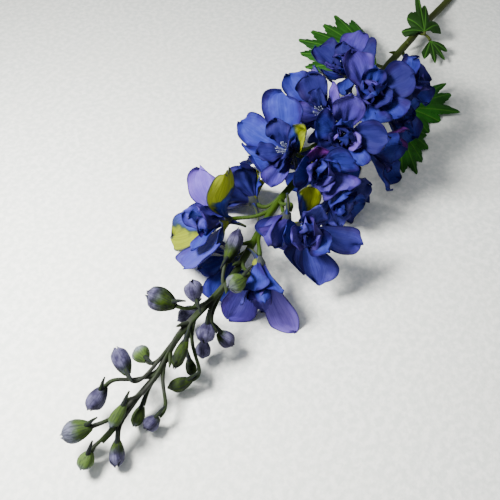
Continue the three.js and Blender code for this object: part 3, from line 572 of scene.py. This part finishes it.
def petal_grid(kind, floret, form, seed):
    """A petal's points in the floret's own axes, and how far across and along each one is."""
    azimuth, longer, wider, opened, roll = (*form, 0)[:5]
    vary = {what: most * draw(seed, use) for what, (use, most) in PETAL_DRAWS.items()}
    azimuth = math.radians(azimuth + vary["azimuth"])
    roll = math.radians(roll)
    rows, columns = kind.grid
    denser_at_tip = 1.25
    along = 1 - (1 - np.linspace(0, 1, rows)[:, None]) ** denser_at_tip
    along, across = np.broadcast_arrays(along, np.linspace(-1, 1, columns)[None, :])

    size = floret["size"]
    rise = math.radians(kind.rise * floret["open"])
    bend = math.radians(kind.open * floret["open"] * opened + vary["open"]) - rise
    arm = kind.length * size * longer * (1 + vary["length"]) / bend
    width = kind.width * size * wider * (1 + vary["width"])
    width = width * (CLOSED_WIDTH + (1 - CLOSED_WIDTH) * floret["open"])

    end = np.clip((along - OUTLINE.end) / (1 - OUTLINE.end), 0, 1)
    blunt = OUTLINE.blunt + vary["blunt"]
    rounded = np.sqrt(np.maximum(1 - end**blunt, OUTLINE.least))
    edge_wave = np.sin(9 * along + vary["edge"]) * OUTLINE.wave * along
    sideways = across * petal_outline(kind, along) * rounded * width / 2
    sideways = sideways * (1 + edge_wave * np.sign(across))
    notch = vary["notch"] * np.cos(5 * across + vary["notch_place"])
    reached = along * (1 - OUTLINE.back * across**2) + notch * end

    lift = petal_lift(kind, floret, vary, across, along)
    sideways, lift = (
        sideways * math.cos(roll) - lift * math.sin(roll),
        sideways * math.sin(roll) + lift * math.cos(roll),
    )
    angle = rise + bend * reached
    radius = kind.root + arm * (math.cos(rise) - np.cos(angle)) - np.cos(angle) * lift
    height = arm * (np.sin(angle) - math.sin(rise)) + np.sin(angle) * lift - kind.sunk
    grid = np.stack([
        radius * math.cos(azimuth) - sideways * math.sin(azimuth),
        radius * math.sin(azimuth) + sideways * math.cos(azimuth),
        height,
    ], axis=-1)
    return grid, across, along


def petal_ring(shape, kind, floret, number, planes, hues):
    """Adds a ring of petals, every second one further in, and the last the most."""
    own_grain = 0.37
    forms = ring(kind, floret)
    for k, form in enumerate(forms):
        seed = number * DRAWS_PER_FLORET + kind.layer + k
        layer = kind.layer + k % 2 + (2 if k == len(forms) - 1 else 0)
        grid, across, along = petal_grid(kind, floret, form, seed)
        grid = press(in_place(grid, floret), floret, planes, FIRST_MARGIN + layer * LAYER)
        on = np.stack([across, along, np.full_like(along, seed * own_grain)], axis=-1)
        sheet(shape, grid, on, HUES[hues[k]], PETAL_THICKNESS,
              move=lambda points: keep_inside(points, planes, SURFACE_MARGIN))


def receptacle(shape, floret, planes):
    """Adds the knob that the petals grow from, and the spur behind it."""
    heights = np.array(KNOB_HEIGHTS)
    radii = np.interp(heights, [h for _, h in KNOB_RINGS], [r for r, _ in KNOB_RINGS])
    radii = radii[:, None] * KNOB_SHARE
    centres = in_place(np.stack([0 * heights, 0 * heights, heights], axis=1), floret)
    tube(shape, centres, lambda share, angle: radii, 16, hue=KNOB_HUE, upright=(0.3, 0.4, 0.9))
    corners = [in_place(np.array(point, float), floret) for point in SPUR]
    corners = [keep_inside(corner, planes, SPUR_MARGIN) for corner in corners]
    tube(shape, bezier(corners, 14), taper(SPUR_RADII), 12, hue=SPUR_HUE)


def make_floret(floret, number, material):
    shape = Shape()
    planes = cell_of(floret)
    sepals, petals = floret["hues"].split()
    heart = SPREAD_HEART if number in SEEN_STAMENS else CLOSED_HEART
    for kind, hues in ((SEPAL, sepals), (PETAL, petals), (heart, petals[1:] + petals)):
        petal_ring(shape, kind, floret, number, planes, hues)
    receptacle(shape, floret, planes)
    shape.build(f"floret_{number:02d}", "petals", material)


def make_stamens(floret, number, material):
    """A tuft of slim filaments, each with a small head, on a low button."""
    shape = Shape()
    top = KNOB_TOP + GAP
    button = np.array([[0, 0, top + share * BUTTON_HEIGHT] for share in (0, 0.5, 1)])
    tube(shape, in_place(button, floret), taper(BUTTON_RADII), 12)
    for k in range(TUFT.count):
        azimuth = TUFT.turn * k + TUFT.uneven * draw(number, k + 60)
        spread = TUFT.inner + TUFT.outer * math.sqrt((k + 0.5) / TUFT.count)
        height = TUFT.height - TUFT.lower * k / TUFT.count
        height = height + TUFT.height_uneven * draw(number, k + 90)
        out = np.array([math.cos(azimuth), math.sin(azimuth), 0])
        corners = [out * TUFT.root + [0, 0, top + TUFT.root_rise],
                   out * spread * 0.5 + [0, 0, top + TUFT.bend_rise],
                   out * spread + [0, 0, height]]
        line = bezier([in_place(corner, floret) for corner in corners], 9)
        tube(shape, line, taper(FILAMENT_RADII), 6)
        reach = np.linspace(ANTHER.back, ANTHER.front, 5)[:, None]
        head = line[-1] + (line[-1] - line[-2]) * reach
        tube(shape, head, lambda s, a: ANTHER.radius + ANTHER.swell * np.sin(math.pi * s), 6)
    shape.build(f"stamens_{number:02d}", "filaments", material)


# ---- buds

def bud_swell(share):
    """A bud's width at a share of its length, as a share of its greatest width."""
    return 0.16 + 0.84 * np.sin(math.pi * (0.06 + 0.8 * share))


def bud_sepal(half, number, k):
    """(across, along, share of the bud's length, angle, radius) of the points of a bud's sepal."""
    rows = np.linspace(0, 1, BUD_SEPAL.rows)
    columns = np.linspace(-1, 1, BUD_SEPAL.columns)
    along, across = np.meshgrid(rows, columns, indexing="ij")
    crown = smoothstep(BUD_SEPAL.crown, 1, along)
    middle = math.radians(BUD_SEPAL.turn * k + BUD_SEPAL.uneven * draw(number, k + 3))
    cover = math.radians(BUD_SEPAL.cover) * np.sqrt(np.maximum(1 - along**5, 0.02))
    lip = BUD_RELIEF.lip * crown * (draw(number, k + 9) - 0.7)
    radius = half * (bud_swell(along * 0.98) * 0.93 + lip) + BUD_SEPAL.step * k
    keel = np.exp(-((across / BUD_RELIEF.keel_width) ** 2))
    ripple = np.sin(7 * across + 5 * along + number + k) * along
    tuck = np.abs(across) ** 4 * (1 - crown)
    relief = BUD_RELIEF.ripple * ripple - BUD_RELIEF.keel * keel - BUD_RELIEF.tuck * tuck
    radius = (radius + half * relief) * (1 - BUD_SEPAL.closes * crown**2)
    reach = along * (0.97 + 0.045 * draw(number, k + 20)) - 0.06 * crown * across**2
    return across, along, np.clip(reach, 0, 1), middle + across * cover, radius


def make_bud(bud, number, material):
    """Overlapping sepals closed round a core, with a curved spur at the base."""
    shape = Shape()
    base, tip = np.array([bud.base, bud.tip], float)
    heading = unit(tip - base)
    length = np.linalg.norm(tip - base)
    sideways = unit(np.cross([0, 0, 1], heading))
    rising = np.cross(heading, sideways)
    half = bud.width / 2

    def centre(share):
        return base + heading * (GAP + share * (length - GAP))[..., None]

    share = np.linspace(0, BUD_CORE.end, BUD_CORE.points)
    radii = half * bud_swell(share) * (BUD_CORE.width - BUD_CORE.taper * share**3)
    # The core, inside the sepals, takes painted shade.
    tube(shape, centre(share), lambda s, a: radii[:, None], BUD_CORE.sides,
         hue=(bud.young, bud.green, 0.5), upright=rising)
    for k in range(BUD_SEPAL.count):
        across, along, reach, angle, radius = bud_sepal(half, number, k)
        out = np.cos(angle)[..., None] * sideways + np.sin(angle)[..., None] * rising
        grid = centre(reach) + out * radius[..., None]
        on = np.stack([across, along, np.full_like(along, number * 0.7 + k)], axis=-1)
        # The two innermost sepals, under the outer ones, take a little painted shade.
        innermost = k < 2
        hue = (bud.young, bud.green + 0.12 * draw(number, k + 30), 0.1 * innermost)
        sheet(shape, grid, on, hue, BUD_SEPAL.thickness)
    corners = [base + heading * ahead + rising * bud.width * up for ahead, up in BUD_SPUR]
    tube(shape, bezier(corners, 12), taper(BUD_SPUR_RADII), 10, hue=BUD_SPUR_HUE)
    shape.build(f"bud_{number:02d}", "sepals", material)


# ---- leaves

def leaf_edge(leaf, tips):
    """The corners of a leaf's edge, round from its stalk: shoulders, lobes and cuts."""
    def between(a, b, share, reach):
        length = np.linalg.norm(a) + (np.linalg.norm(b) - np.linalg.norm(a)) * share
        return unit(a + (b - a) * share) * length * reach

    def shoulders(tip, other):
        return [between(tip, tip * 2 - other, 0.5, reach) for reach in LEAF.shoulders]

    edge = shoulders(tips[0], tips[1])
    for tip, following in zip(tips[:-1], tips[1:]):
        edge.append(tip)
        for share, depth in LOBE_SIDE:
            edge.append(between(tip, following, share, 1 - (1 - leaf["cut"]) * depth))
    return edge + [tips[-1]] + shoulders(tips[-1], tips[-2])[::-1]


def toothed(corners):
    """A finer edge through the corners, with a small tooth on each side."""
    edge = []
    for a, b in zip(corners[:-1], corners[1:]):
        for step in range(LEAF.edge_steps):
            share = step / LEAF.edge_steps
            edge.append((a + (b - a) * share) * (1 + LEAF.tooth * math.sin(math.pi * share) ** 2))
    return np.array(edge + [corners[-1]])


def make_leaf(leaf, number, material):
    """An arched blade in rings from its stalk to its edge, with sunken veins."""
    shape = Shape()
    tips = leaf["lobes"] - leaf["base"]
    share = np.linspace(LEAF.first_ring, 1, LEAF.rings)[:, None]
    grid = toothed(leaf_edge(leaf, tips))[None] * share[..., None]
    reach = np.linalg.norm(grid, axis=-1)
    outward = grid / np.maximum(reach, TINY)[..., None]
    veins = np.stack([unit(tip) for tip in tips])
    turned = np.arccos(np.clip(np.einsum("rck,tk->rct", outward, veins), -1, 1))
    off_vein = (turned * reach[..., None]).min(axis=-1)
    side = np.abs(np.sin((reach * 1.15 - off_vein * 1.3) * 0.9))
    relief = VEIN.between * np.clip(off_vein / VEIN.rises_over, 0, 1) * side
    relief = relief - VEIN.depth * np.exp(-((off_vein / VEIN.width) ** 2))
    points = leaf["base"] + grid
    points[..., 2] += leaf["arch"] * np.sin(math.pi * share)
    points[..., 2] += relief * np.sin(math.pi * np.clip(share, 0.05, 0.95))
    points[..., 2] = np.maximum(points[..., 2], LEAF.lowest)
    on = np.stack([off_vein, reach, side], axis=-1)
    sheet(shape, points[:, ::-1], on[:, ::-1], (0, 0, leaf["dark"]), LEAF.thickness)
    shape.build(f"leaf_{number}", "blade", material)


# ---- stem and stalks

def stalk(shape, start, end, heading, radius):
    """A stalk that leaves the stem along it and curves out, with a swollen foot."""
    first = stem_centre(start)
    run = np.linalg.norm(first - end)
    leaves = stem_centre(first[0] - STALK.along * run)
    leaves = leaves + (end - leaves) * STALK.out
    arrives = end - heading * STALK.arrives * run
    line = bezier([first, leaves, arrives, end], STALK.points)

    def radius_at(share, angle):
        return radius * (STALK.foot - STALK.waist * np.sin(math.pi * share))

    tube(shape, line, radius_at, STALK.sides, around(line[:, 0], STALK.sides))


def bract(shape, position, degrees):
    """A small pointed bract that stands out from the stem towards its tip."""
    radius = stem_radius(position)
    angle = math.radians(degrees)
    out = np.array([0, math.cos(angle), math.sin(angle)])
    start = stem_centre(position) + out * radius * 0.4
    end = stem_centre(position) + out * (radius + BRACT.spread) - [BRACT.length, 0, 0]
    middle = (start + end) / 2 + out * BRACT.bulge

    def radius_at(share, angle):
        return BRACT.root * (1 - share) ** 0.7 + BRACT.tip

    on = np.broadcast_to([0, position, 0.0], (BRACT.points, BRACT.sides, 3))
    tube(shape, bezier([start, middle, end], BRACT.points), radius_at, BRACT.sides, on)


def make_stem(material):
    shape = Shape()
    distance = np.linspace(LINE[0, 0], LINE[-1, 0], STEM.points)

    def radius_at(share, angle):
        along = distance[:, None]
        depth = RIB.depth + RIB.young * smoothstep(RIB.old_from, RIB.young_to, along)
        rib = 1 + depth * np.cos(RIB.count * angle + along * RIB.twist)
        rib = rib + 0.025 * np.sin(along * 0.4 + 2 * angle)
        return stem_radius(along) * rib

    tube(shape, stem_centre(distance), radius_at, STEM.sides, around(distance, STEM.sides))
    for floret in FLORETS:
        facing = unit(floret["faces"])
        end = floret["at"] + facing * (KNOB_BACK - GAP)
        stalk(shape, floret["at"][0] + FLORET_STALK_RUN, end, facing, STALK_RADIUS)
    for bud in BUDS:
        base, tip = np.array([bud.base, bud.tip], float)
        stalk(shape, bud.start, base, unit(tip - base), BUD_STALK_RADIUS)
    for leaf in LEAVES:
        heading = unit(np.mean(leaf["lobes"], axis=0) - leaf["base"])
        end = leaf["base"] - heading * GAP
        stalk(shape, leaf["start"], end, heading, LEAF_STALK_RADIUS)
    for position, degrees in BRACTS:
        bract(shape, position, degrees)
    shape.build("stem", "and_stalks", material)


# ---- materials

class Net:
    """A short way to write a material's nodes."""

    def __init__(self, name, roughness, shine=0.3):
        self.material = bpy.data.materials.new(name)
        self.material.use_nodes = True
        self.tree = self.material.node_tree
        self.shader = self.tree.nodes["Principled BSDF"]
        self.shader.inputs["Roughness"].default_value = roughness
        self.shader.inputs["Specular IOR Level"].default_value = shine
        self.where = self.node("ShaderNodeTexCoord").outputs["Object"]

    def wire(self, value, socket):
        if isinstance(value, (int, float, tuple)):
            socket.default_value = value
        else:
            self.tree.links.new(value, socket)

    def node(self, kind, *values, **settings):
        """A new node with these settings and with its first inputs wired to values."""
        made = self.tree.nodes.new(kind)
        for key, value in settings.items():
            setattr(made, key, value)
        for value, socket in zip(values, made.inputs):
            self.wire(value, socket)
        return made

    def math(self, operation, a, b=0, clamp=False):
        return self.node("ShaderNodeMath", a, b, operation=operation, use_clamp=clamp).outputs[0]

    def times(self, a, b, clamp=False):
        return self.math("MULTIPLY", a, b, clamp)

    def plus(self, a, b):
        return self.math("ADD", a, b)

    def mix(self, share, a, b, blend="MIX"):
        made = self.node("ShaderNodeMix", share, data_type="RGBA", blend_type=blend)
        self.wire(a, made.inputs[6])
        self.wire(b, made.inputs[7])
        return made.outputs[2]

    def over(self, body, colour, share, strength, blend="MIX"):
        """The body with a colour laid over it, by a share times a strength."""
        return self.mix(self.times(share, strength), body, colour, blend)

    def span(self, value, low, high, to_low=0, to_high=1):
        return self.node("ShaderNodeMapRange", value, low, high, to_low, to_high,
                         interpolation_type="SMOOTHSTEP").outputs[0]

    def vector(self, x, y, z):
        return self.node("ShaderNodeCombineXYZ", x, y, z).outputs[0]

    def attribute(self, name):
        made = self.node("ShaderNodeAttribute", attribute_name=name)
        return self.node("ShaderNodeSeparateXYZ", made.outputs["Vector"]).outputs

    def noise(self, scale, detail=3, at=None):
        made = self.node("ShaderNodeTexNoise", self.where if at is None else at)
        for name, value in (("Scale", scale), ("Detail", detail), ("Roughness", 0.55)):
            made.inputs[name].default_value = value
        return made.outputs[0]

    def bump(self, height, strength, distance):
        made = self.node("ShaderNodeBump", strength, distance)
        self.wire(height, made.inputs["Height"])
        self.wire(made.outputs[0], self.shader.inputs["Normal"])

    def colour(self, value):
        self.wire(value, self.shader.inputs["Base Color"])


def palette(**colours):
    """sRGB colours of 0 to 255 as the linear colours that a shader takes."""
    def linear(value):
        value /= 255
        return value / 12.92 if value <= 0.04045 else ((value + 0.055) / 1.055) ** 2.4
    return Values(**{name: (*map(linear, rgb), 1) for name, rgb in colours.items()})


def petal_material():
    """Blue to lilac cloth with fine veins, blotches and inked edges; painted highlight along the
    middle, painted shade at throat and sides.
    """
    tint = palette(
        deep=(20, 13, 76), blue=(28, 39, 124), bright=(34, 51, 132), lilac=(94, 66, 156),
        pale_blue=(40, 58, 138), pale_lilac=(118, 98, 182), wet_blue=(54, 72, 156),
        wet_lilac=(124, 100, 184), purple=(92, 22, 108), grey_green=(30, 50, 44),
        yellow_green=(118, 128, 14), dark=(12, 8, 48), vein=(172, 170, 214), ink=(8, 7, 62),
    )
    net = Net("petal", roughness=0.7, shine=0.1)
    across, along, seed = net.attribute("place")
    lilac, green, dark = net.attribute("hue")
    fine = net.noise(2, 4, at=net.vector(net.times(across, 9), along, seed))
    veins = net.span(fine, 0.38, 0.62)
    patches = net.span(net.noise(55, 2), 0.35, 0.65)
    # Painted light: painted shade darkens each petal's throat and sides, a painted highlight
    # lightens its middle, made uneven by the patches.
    width = net.math("ABSOLUTE", across)
    painted_light = net.times(net.span(width, 1, 0.15), net.span(along, 0.08, 0.6))
    painted_light = net.plus(painted_light, net.times(patches, 0.5))
    body = net.mix(net.span(painted_light, 0.1, 0.8), tint.deep, tint.blue)
    body = net.mix(net.span(painted_light, 0.75, 1.5, 0, 0.85), body, tint.bright)
    more_to_tip = net.span(along, 0.1, 0.9, 0.55, 0.95)
    toward_lilac = net.times(net.times(lilac, 1, clamp=True), more_to_tip)
    body = net.mix(toward_lilac, body, tint.lilac)
    pale = net.mix(toward_lilac, tint.pale_blue, tint.pale_lilac)
    body = net.mix(net.times(dark, -1, clamp=True), body, pale)
    # Lighter blotches at random: partly the petals' own mottled tone, partly a painted patchy
    # highlight.
    blotches = net.span(net.noise(150), 0.45, 0.7)
    mottle_and_highlight = net.mix(toward_lilac, tint.wet_blue, tint.wet_lilac)
    body = net.over(body, mottle_and_highlight, blotches, 0.4)
    past_lilac = net.math("SUBTRACT", lilac, 1, clamp=True)
    body = net.mix(net.times(past_lilac, net.span(along, 0.35, 0.75)), body, tint.purple)

    # A wholly green petal is green further down at one side, a partly green one at the other.
    spread = net.plus(along, net.times(patches, 0.25))
    green_side = net.span(green, 0.8, 0.95, 0.7, -0.3)
    lean = net.times(green_side, net.math("MAXIMUM", green, 0))
    spread = net.plus(spread, net.times(across, lean))
    tip_green = net.times(green, net.span(spread, 0.42, 0.85), clamp=True)
    root_green = net.times(net.times(green, -1, clamp=True), net.span(spread, 0.8, 0.4))
    greenness = net.math("MAXIMUM", tip_green, root_green)
    body = net.mix(net.span(greenness, 0, 0.45), body, tint.grey_green)
    body = net.mix(net.span(greenness, 0.3, 0.8), body, tint.yellow_green)

    # Painted shade from the third hue value, on petals that lie in shade deep in the cluster.
    body = net.mix(net.times(dark, 0.8, clamp=True), body, tint.dark)
    body = net.over(body, tint.vein, veins, 0.4, "MULTIPLY")
    edge = net.math("MAXIMUM", net.span(width, 0.88, 0.98), net.span(along, 0.955, 0.995))
    net.colour(net.over(body, tint.ink, edge, 0.75))
    grain = net.noise(2600, 2)
    height = net.plus(net.times(fine, 0.8), net.times(grain, 0.2))
    spot = net.vector(net.times(across, 1.6), net.times(along, 1.5), seed)
    crinkle = net.noise(2.2, at=spot)
    net.bump(net.plus(height, net.times(crinkle, 3.5)), 0.35, 0.0006)
    return net.material


def stamen_material():
    tint = palette(light=(196, 204, 214), shade=(130, 140, 178))
    net = Net("stamen", roughness=0.6)
    net.colour(net.mix(net.noise(300, 2), tint.light, tint.shade))
    return net.material


def stem_material():
    """Green, darker and purplish where it is young and paler at the cut, with streaks along it."""
    tint = palette(young=(26, 36, 13), green=(42, 62, 6), old=(62, 70, 24), purple=(40, 32, 44),
                   streak=(34, 54, 12))
    net = Net("stem", roughness=0.6, shine=0.15)
    angle, distance, _ = net.attribute("place")
    around_stem = net.vector(net.math("SINE", angle), net.math("COSINE", angle),
                             net.times(distance, 0.02))
    streak = net.noise(5, 4, at=around_stem)
    body = net.mix(net.span(distance, 100, 150), tint.young, tint.green)
    body = net.mix(net.span(distance, 300, 430), body, tint.old)
    purple = net.times(net.span(net.noise(70), 0.42, 0.6), net.span(distance, 150, 90, 0, 0.6))
    body = net.mix(purple, body, tint.purple)
    net.colour(net.mix(net.span(streak, 0.3, 0.7, 0, 0.35), body, tint.streak))
    net.bump(net.plus(streak, net.noise(900)), 0.3, 0.0005)
    return net.material


def bud_material():
    """Green at the base and grey-lilac to the tip, with veins and darker edges."""
    tint = palette(
        deep_green=(14, 24, 3), green=(40, 56, 9), young_green=(72, 94, 42), grey=(38, 34, 60),
        pale_grey=(86, 84, 112), young_grey=(112, 122, 118), dark=(24, 26, 26), vein=(20, 18, 34),
        edge=(20, 20, 36),
    )
    net = Net("bud", roughness=0.7, shine=0.1)
    across, along, seed = net.attribute("place")
    young, green, dark = net.attribute("hue")
    fine = net.noise(2.4, 4, at=net.vector(net.times(across, 5), along, seed))
    veins = net.span(fine, 0.48, 0.6)
    blotch = net.noise(190)
    width = net.math("ABSOLUTE", across)
    start = net.math("SUBTRACT", net.times(green, 1.35), 0.3)
    reach = net.plus(along, net.times(blotch, 0.45))
    reach = net.math("SUBTRACT", reach, net.times(width, 0.12))
    tip = net.span(net.math("SUBTRACT", reach, start), 0.12, 0.5)
    leafy = net.mix(net.span(blotch, 0.35, 0.65), tint.deep_green, tint.green)
    leafy = net.mix(young, leafy, tint.young_green)
    pale = net.mix(net.span(blotch, 0.3, 0.7), tint.grey, tint.pale_grey)
    pale = net.over(pale, tint.young_grey, young, 0.6)
    body = net.mix(tip, leafy, pale)
    # The third hue value darkens: painted shade on the core and innermost sepals, and a darker
    # spur.
    body = net.over(body, tint.dark, dark, 0.8)
    body = net.over(body, tint.vein, veins, 0.55)
    edge = net.math("MAXIMUM", net.span(width, 0.84, 0.97), net.span(along, 0.95, 0.99))
    net.colour(net.over(body, tint.edge, edge, 0.6))
    net.bump(net.plus(fine, net.noise(1500)), 0.4, 0.0006)
    return net.material


def leaf_material():
    """Mottled green with lighter main veins and faint side veins between them."""
    tint = palette(shade=(16, 66, 10), green=(32, 92, 18), dark=(18, 32, 6), vein=(66, 116, 36),
                   side_vein=(48, 104, 28))
    net = Net("leaf", roughness=0.6, shine=0.15)
    off_vein, _, side = net.attribute("place")
    _, _, dark = net.attribute("hue")
    mottle = net.noise(90, 4)
    body = net.mix(net.span(mottle, 0.3, 0.7), tint.shade, tint.green)
    # Painted shade from the hue's last value, on blades that lie in shade.
    body = net.over(body, tint.dark, dark, 0.9)
    body = net.over(body, tint.vein, net.span(off_vein, 0.75, 0.1), 0.6)
    body = net.over(body, tint.side_vein, net.span(side, 0.12, 0), 0.35)
    net.colour(body)
    net.bump(net.plus(mottle, net.noise(1200)), 0.35, 0.0006)
    return net.material


def floor_material():
    """A pale floor with soft blotches."""
    tint = palette(grey=(226, 231, 226), white=(252, 253, 248), warm=(242, 242, 230))
    net = Net("floor", roughness=0.75)
    blotch = net.span(net.noise(260), 0.38, 0.66)
    broad = net.span(net.noise(9, 2), 0.3, 0.7, 0, 0.3)
    net.colour(net.mix(broad, net.mix(blotch, tint.grey, tint.white), tint.warm))
    net.bump(net.noise(420, 4), 0.3, 0.0008)
    return net.material


# ---- the flower

petal_surface = petal_material()
stamen_surface = stamen_material()
for number, floret in enumerate(FLORETS, 1):
    make_floret(floret, number, petal_surface)
    if number not in HIDDEN_STAMENS:
        make_stamens(floret, number, stamen_surface)
bud_surface = bud_material()
for number, bud in enumerate(BUDS, 1):
    make_bud(bud, number, bud_surface)
leaf_surface = leaf_material()
for number, leaf in enumerate(LEAVES, 1):
    make_leaf(leaf, number, leaf_surface)
make_stem(stem_material())

# ---- floor, light and camera

FLOOR_SIZE = 6
SKY_COLOUR = (0.9, 0.94, 1.0, 1)
SKY_STRENGTH = 0.31
# aim is in millimetres, as above, size and distance are in metres, and angles in degrees.
CAMERA = dict(aim=(157.45, 4.66, 0), azimuth=-59.25, elevation=50, distance=0.453)
CAMERA_FIELD = math.radians(38)
SENSOR_WIDTH = 36
LIGHTS = [
    dict(name="key", aim=(85, 0, 0), azimuth=-150, elevation=60, distance=0.39, size=0.15,
         energy=6.9, colour=(1.0, 0.99, 0.96)),
    dict(name="overhead", aim=CAMERA["aim"], azimuth=-120, elevation=72, distance=1.6, size=1.2,
         energy=5, colour=(0.97, 0.98, 1.0)),
]

bpy.ops.mesh.primitive_plane_add(size=FLOOR_SIZE, location=(0, 0, 0))
floor = bpy.context.object
floor.name = "floor"
floor.data.materials.append(floor_material())


def aimed(name, data, aim, azimuth, elevation, distance):
    """A light's or camera's object, looking at aim from a distance."""
    item = bpy.data.objects.new(name, data)
    bpy.context.scene.collection.objects.link(item)
    azimuth = math.radians(azimuth)
    elevation = math.radians(elevation)
    back = Vector((
        math.sin(azimuth) * math.cos(elevation),
        -math.cos(azimuth) * math.cos(elevation),
        math.sin(elevation),
    ))
    item.location = Vector(place(aim)) + back * distance
    item.rotation_euler = back.to_track_quat("Z", "Y").to_euler()
    return item


def area_light(name, size, energy, colour, **where):
    lamp = bpy.data.lights.new(name, "AREA")
    lamp.shape = "DISK"
    lamp.size = size
    lamp.energy = energy
    lamp.color = colour
    aimed(name, lamp, **where)


for light in LIGHTS:
    area_light(**light)

world = bpy.data.worlds.new("studio")
world.use_nodes = True
sky = world.node_tree.nodes["Background"]
sky.inputs["Color"].default_value = SKY_COLOUR
sky.inputs["Strength"].default_value = SKY_STRENGTH
bpy.context.scene.world = world

lens = bpy.data.cameras.new("camera")
lens.sensor_width = SENSOR_WIDTH
lens.lens = SENSOR_WIDTH / 2 / math.tan(CAMERA_FIELD / 2)
lens.clip_start = 0.01
lens.clip_end = 20
bpy.context.scene.camera = aimed("camera", lens, **CAMERA)
